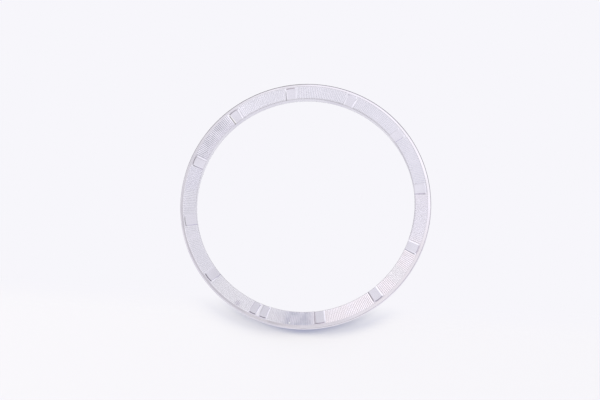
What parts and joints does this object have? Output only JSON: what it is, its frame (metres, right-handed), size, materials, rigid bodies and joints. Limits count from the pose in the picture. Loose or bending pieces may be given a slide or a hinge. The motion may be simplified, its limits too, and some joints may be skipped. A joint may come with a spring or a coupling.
{
  "type": "watch bezel",
  "caption": "Press-on steel bezel ring for a round wristwatch, with a finely reeded face, plain recessed hour pockets and a polished rim.",
  "frame": {"origin": "on the bore's axis, in the plane of the flat seat that rests on the case", "axes": "+Z along the bore out of the reeded front face, +Y towards the paired pockets at twelve o'clock"},
  "size_m": [0.0338, 0.0338, 0.0017],
  "materials": {
    "steel": "engraved satin reeds with polished bevels"
  },
  "bodies": {
    "root": {"bezel_ring": "steel"}
  },
  "joints": []
}
